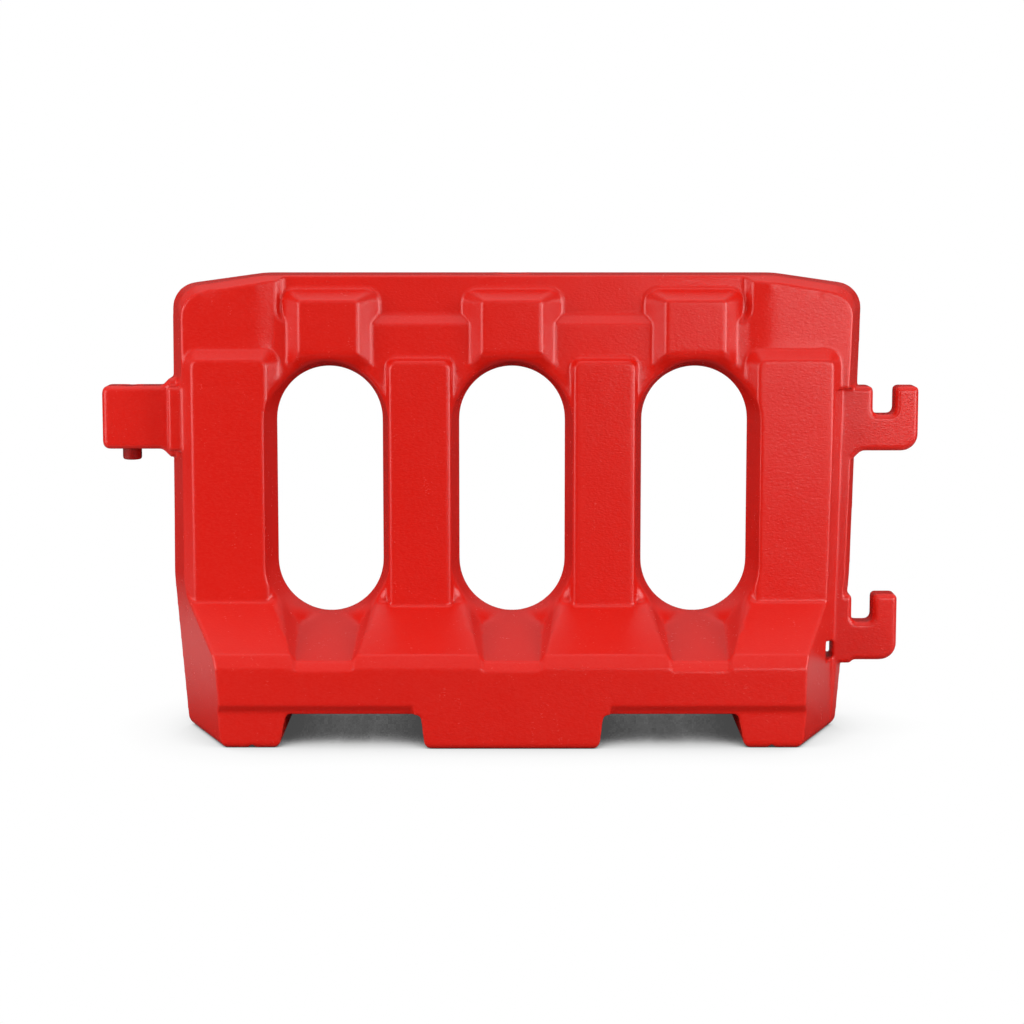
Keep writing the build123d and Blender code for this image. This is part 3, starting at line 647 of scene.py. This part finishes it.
class BARRIER_OT_filler(bpy.types.Operator):
    """Build the filler neck, its seal and the ribbed screw cap"""

    bl_idname = "barrier.filler"
    bl_label = "Filler"

    def execute(self, context):
        tones = settings().colour
        middle = Vector()
        red = fitting_plastic("red_fitting_plastic", tones.shell, tones.shell_pale_and_highlight, rough=0.4)
        neck = flanged_bush("filler_neck", (FILLER_BORE, FILLER_BODY, NECK_HIGH.x),
                            (NECK_LOW.z, WELL_FLOOR, NECK_HIGH.z), UP, middle)
        put("filler_neck_ring", neck, "barrier", red, "filler_neck")
        rubber = seal_rubber("seal_rubber", tones.seal)
        ring = sealing_ring("filler_gasket", FILLER_SEAL_HIGH.x, FILLER_BORE, FILLER_SEAL_LOW.z,
                            FILLER_SEAL_HIGH.z, UP, middle)
        put("filler_gasket_ring", ring, "filler_seal", rubber, "filler_gasket")
        black = fitting_plastic("black_cap_plastic", tones.cap, tones.cap_pale, rough=0.42)
        cap = put("filler_cap_ribbed", self.cap(), "filler_lid", black, "filler_cap")
        cap.data.set_sharp_from_angle(angle=CREASE)
        return {"FINISHED"}

    def cap(self):
        """Ribbed disc with a grip bar above and a threaded plug below."""
        shape = settings().fitting
        low = CAP_LOW.z
        seat = FILLER_SEAL_HIGH.z
        disc_top = seat + 0.006
        plug_top = seat + 0.001        # just inside the disc
        plug = FILLER_BORE - THREAD_ROOM
        inner = plug - 0.004
        thread_start = low + 0.003
        thread_turns = 2.2
        bm = bmesh.new()
        self.add_disc(bm, shape.knurls, seat, disc_top)
        self.add_grip(bm, disc_top)
        section = ((inner, low), (plug, low), (plug, plug_top), (inner, plug_top))
        tube = mesh_of("cap_plug", lathe(section, UP, Vector()))
        bm.from_mesh(tube)
        bpy.data.meshes.remove(tube)
        add_thread(bm, plug, shape.thread_height, shape.filler_pitch, thread_start, thread_turns, UP,
                   Vector())
        return mesh_of("filler_cap", bm)

    def add_disc(self, bm, knurls, low, high):
        """Disc with grip ribs round its rim and a dished top."""
        radius = CAP_HIGH.x
        rib_depth = 0.0012
        rim_width = 0.0035
        step_width = 0.0010
        dish = 0.0012
        points_per_rib = 4
        rim = bmesh.ops.create_circle(bm, cap_ends=True, segments=knurls * points_per_rib, radius=radius,
                                      matrix=Matrix.Translation(UP * low))
        for index, vert in enumerate(sorted(rim["verts"], key=lambda v: math.atan2(v.co.y, v.co.x))):
            if index % points_per_rib < points_per_rib // 2:
                vert.co.xy *= 1.0 - rib_depth / radius
        made = bmesh.ops.extrude_face_region(bm, geom=bm.faces[:])
        top = [part for part in made["geom"] if isinstance(part, bmesh.types.BMVert)]
        bmesh.ops.translate(bm, verts=top, vec=UP * (high - low))
        bmesh.ops.recalc_face_normals(bm, faces=bm.faces)
        crown = [face for face in bm.faces if face.normal.z > 0.9]
        bmesh.ops.inset_region(bm, faces=crown, thickness=rim_width, depth=0.0)
        bmesh.ops.inset_region(bm, faces=crown, thickness=step_width, depth=-dish)

    def add_grip(self, bm, foot):
        """Rounded bar across the top for the hand."""
        sunk = 0.0016
        length = 0.050
        width = 0.009
        height = CAP_HIGH.z - foot + sunk
        rounding = 0.0018
        place = Matrix.Translation(UP * (CAP_HIGH.z - height / 2))
        size = Matrix.Diagonal((length, width, height, 1.0))
        grip = bmesh.ops.create_cube(bm, size=1.0, matrix=place @ size)
        round_edges(bm, list({edge for vert in grip["verts"] for edge in vert.link_edges}), rounding)


class BARRIER_OT_drain(bpy.types.Operator):
    """Build the drain bush, its seal and the slotted screw plug"""

    bl_idname = "barrier.drain"
    bl_label = "Drain"

    def execute(self, context):
        bush = flanged_bush("drain_bush", (DRAIN_BORE, DRAIN_BODY, BUSH_HIGH.x),
                            (BUSH_LOW.y, DRAIN_FLOOR, BUSH_HIGH.y), BACK, DRAIN_AXIS)
        red = packed_material("red_fitting_plastic")
        put("drain_bush_ring", bush, "barrier", red, "drain_bush")
        ring = sealing_ring("drain_gasket", DRAIN_SEAL_HIGH.x, DRAIN_BORE, DRAIN_SEAL_LOW.y,
                            DRAIN_SEAL_HIGH.y, BACK, DRAIN_AXIS)
        rubber = packed_material("seal_rubber")
        put("drain_gasket_ring", ring, "drain_seal", rubber, "drain_gasket")
        black = packed_material("black_cap_plastic")
        plug = put("drain_plug_slotted", self.plug(), "drain_screw", black,
                   "drain_plug")
        plug.data.set_sharp_from_angle(angle=CREASE)
        return {"FINISHED"}

    def plug(self):
        """Round-headed plug with a coin slot and a thread."""
        shape = settings().fitting
        seat = DRAIN_SEAL_HIGH.y
        low = PLUG_LOW.y
        top = PLUG_HIGH.y
        head = PLUG_HIGH.x
        shank = DRAIN_BORE - THREAD_ROOM
        points = (
            (0.0, low), (shank - 0.0008, low), (shank, low + 0.0008), (shank, seat), (head - 0.0006, seat),
            (head, seat + 0.0006), (head, top - 0.0012), (head - 0.0012, top), (0.0, top),
        )
        turned = mesh_of("drain_plug", lathe(points, BACK, DRAIN_AXIS))
        slot_length = 2.4 * head
        slot_depth = 0.0025
        slot_width = 0.004
        thread_start = low + 0.002
        thread_turns = 3.2
        place = Matrix.Translation(DRAIN_AXIS + BACK * top)
        size = Matrix.Diagonal((slot_length, 2 * slot_depth, slot_width, 1.0))
        cutter = bmesh.new()
        bmesh.ops.create_cube(cutter, size=1.0, matrix=place @ size)
        bm = bmesh_of(without(turned, mesh_of("coin_slot", cutter)))
        add_thread(bm, shank, shape.thread_height, shape.drain_pitch, thread_start, thread_turns, BACK,
                   DRAIN_AXIS)
        return mesh_of("drain_plug_slotted", bm)


def floor_material(bounce, contact):
    """White floor for the camera, shaded close to the barrier; other light meets a grey mat on a dark floor.

    Highlights see the mat dimmed in front of the barrier, where it would pale the base.
    """
    material, nodes = new_material("studio_floor")
    openness = nodes.node("AmbientOcclusion", {"Distance": contact}, output="AO", samples=16)
    shade = nodes.steps(openness, (0.0, 0.04), (0.13, 0.08), (0.21, 0.42), (0.29, 0.58), (0.52, 0.82),
                        (0.72, 0.95), (1.0, 1.0))
    seen = nodes.either(nodes.ray("Camera"), nodes.ray("Transmission"))
    glow = nodes.node("Emission", {"Color": shade, "Strength": 1.0})
    place = nodes.place()
    oval = nodes.stretched(place, (0.4, 1.4, 1.0))
    distance = nodes.node("VectorMath", {0: oval}, output="Value", operation="LENGTH")
    mat = nodes.steps(distance / 2.0, (0.6, bounce), (0.8, 0.03))
    along = nodes.node("SeparateXYZ", {"Vector": place}, output="X")
    dimmed = nodes.steps(abs(along), (0.6, 0.8), (0.9, 0.0)) * nodes.ray("Glossy")
    matte = nodes.node("BsdfDiffuse", {"Color": mat * (1.0 - dimmed)})
    surface = nodes.node("MixShader", {0: seen, 1: matte, 2: glow})
    nodes.node("OutputMaterial", {"Surface": surface})
    return material


def white_room(ambient, backdrop):
    """World that is white to the camera, pale behind to matt faces and dim low down to glossy faces."""
    world = bpy.data.worlds.new("white_room")
    nodes = Nodes(world)
    toward = nodes.place("Generated")
    depth = nodes.node("SeparateXYZ", {"Vector": toward}, output="Y")
    height = nodes.node("SeparateXYZ", {"Vector": toward}, output="Z")
    dome = nodes.steps(depth, (0.0, ambient), (0.5, backdrop))
    mirrored = nodes.steps(height, (0.24, 0.02), (0.34, 0.2), (0.7, 0.2), (0.9, 0.85))
    glossy = nodes.ray("Glossy")
    seen = nodes.either(nodes.ray("Camera"), nodes.ray("Transmission"))
    light = mirrored * glossy + dome * (1.0 - glossy)
    background = nodes.node("Background", {"Color": WHITE, "Strength": seen + light * (1.0 - seen)})
    nodes.node("OutputWorld", {"Surface": background})
    return world


def aimed(name, data, place, aim):
    """Camera or lamp that looks at a point."""
    holder = bpy.data.objects.new(name, data)
    holder.location = place
    holder.rotation_euler = (Vector(aim) - Vector(place)).to_track_quat("-Z", "Y").to_euler()
    bpy.context.scene.collection.objects.link(holder)
    return holder


def panel_lamp(name, place, aim, width, height, power):
    """Rectangular lamp that looks at a point."""
    lamp = bpy.data.lights.new(name, "AREA")
    lamp.shape = "RECTANGLE"
    lamp.size = width
    lamp.size_y = height
    lamp.energy = power
    return aimed(name, lamp, place, aim)


def softbox(*values):
    """Lamp that lights the colour of a face and leaves no highlight."""
    panel_lamp(*values).visible_glossy = False


def highlight(*values):
    """Lamp that shows only as a highlight on a face."""
    panel_lamp(*values).visible_diffuse = False


class BARRIER_OT_stage(bpy.types.Operator):
    """Set up the camera, the lamps, the white floor and the room light"""

    bl_idname = "barrier.stage"
    bl_label = "Studio"

    def execute(self, context):
        stage = settings().stage
        scene = context.scene
        scene.view_settings.view_transform = "Standard"
        scene.world = white_room(stage.ambient, stage.backdrop)
        self.camera(scene, stage)
        self.floor(stage)
        self.lamps(stage)
        return {"FINISHED"}

    def camera(self, scene, stage):
        """Camera at the photograph's place."""
        data = bpy.data.cameras.new("photo_camera")
        data.lens = stage.lens
        data.sensor_width = 36.0
        scene.camera = aimed("photo_camera", data, stage.camera_place, stage.camera_aim)

    def floor(self, stage):
        """Wide floor under the barrier."""
        half_width = 30.0
        bm = bmesh.new()
        bmesh.ops.create_grid(bm, x_segments=1, y_segments=1, size=half_width)
        floor = bpy.data.objects.new("studio_floor", mesh_of("studio_floor", bm))
        floor.data.materials.append(floor_material(stage.bounce, stage.contact))
        bpy.context.scene.collection.objects.link(floor)

    def lamps(self, stage):
        """Softboxes for the colour, then highlights, each with its place, aim, width, height and power."""
        middle = (0.0, 0.0, 0.4)
        right_end = (0.5, 0.0, 0.6)
        left_share = 0.6
        softbox("key_softbox", (0.2, -2.6, 2.1), middle, 1.6, 0.8, stage.key_light)
        softbox("left_softbox", (-2.5, -1.9, 1.0), middle, 2.0, 1.4, stage.left_light)
        softbox("right_softbox", (2.5, -1.9, 1.0), middle, 1.8, 1.4, stage.right_light)
        softbox("top_softbox", (0.0, -0.4, 3.0), middle, 2.4, 1.4, stage.top_light)
        highlight("left_glint", (-2.8, -1.5, 0.8), middle, 2.6, 1.6, stage.glint_light * left_share)
        highlight("right_glint", (2.8, -1.5, 0.8), middle, 2.6, 1.6, stage.glint_light)
        highlight("left_rim", (-3.2, 2.4, 0.7), middle, 1.4, 1.6, stage.rim_light)
        highlight("right_rim", (3.2, 2.4, 0.7), middle, 1.4, 1.6, stage.rim_light)
        highlight("sheen", (1.6, -4.2, 0.88), right_end, 1.8, 0.9, stage.sheen_light)


class BarrierSettings(bpy.types.PropertyGroup):
    """All the barrier's settings."""

    shell: PointerProperty(type=ShellSettings)
    colour: PointerProperty(type=ColourSettings)
    fitting: PointerProperty(type=FittingSettings)
    stage: PointerProperty(type=StageSettings)


OPERATORS = (BARRIER_OT_shells, BARRIER_OT_pin, BARRIER_OT_filler, BARRIER_OT_drain, BARRIER_OT_stage)


class BARRIER_PT_panel(bpy.types.Panel):
    """Buttons and settings of the barrier"""

    bl_idname = "BARRIER_PT_panel"
    bl_label = "Road Barrier"
    bl_space_type = "VIEW_3D"
    bl_region_type = "UI"
    bl_category = "Barrier"

    def draw(self, context):
        for operator in OPERATORS:
            self.layout.operator(operator.bl_idname)
        for group in BarrierSettings.__annotations__:
            box = self.layout.box()
            values = getattr(context.scene.barrier, group)
            for key in values.__annotations__:
                box.prop(values, key)


CLASSES = (
    ShellSettings, ColourSettings, FittingSettings, StageSettings, BarrierSettings, *OPERATORS,
    BARRIER_PT_panel)


def register():
    for entry in CLASSES:
        bpy.utils.register_class(entry)
    bpy.types.Scene.barrier = PointerProperty(type=BarrierSettings)


def unregister():
    del bpy.types.Scene.barrier
    for entry in reversed(CLASSES):
        bpy.utils.unregister_class(entry)


def main():
    register()
    bpy.ops.barrier.shells()
    bpy.ops.barrier.pin()
    bpy.ops.barrier.filler()
    bpy.ops.barrier.drain()
    bpy.ops.barrier.stage()
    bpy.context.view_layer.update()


if __name__ == "__main__":
    main()
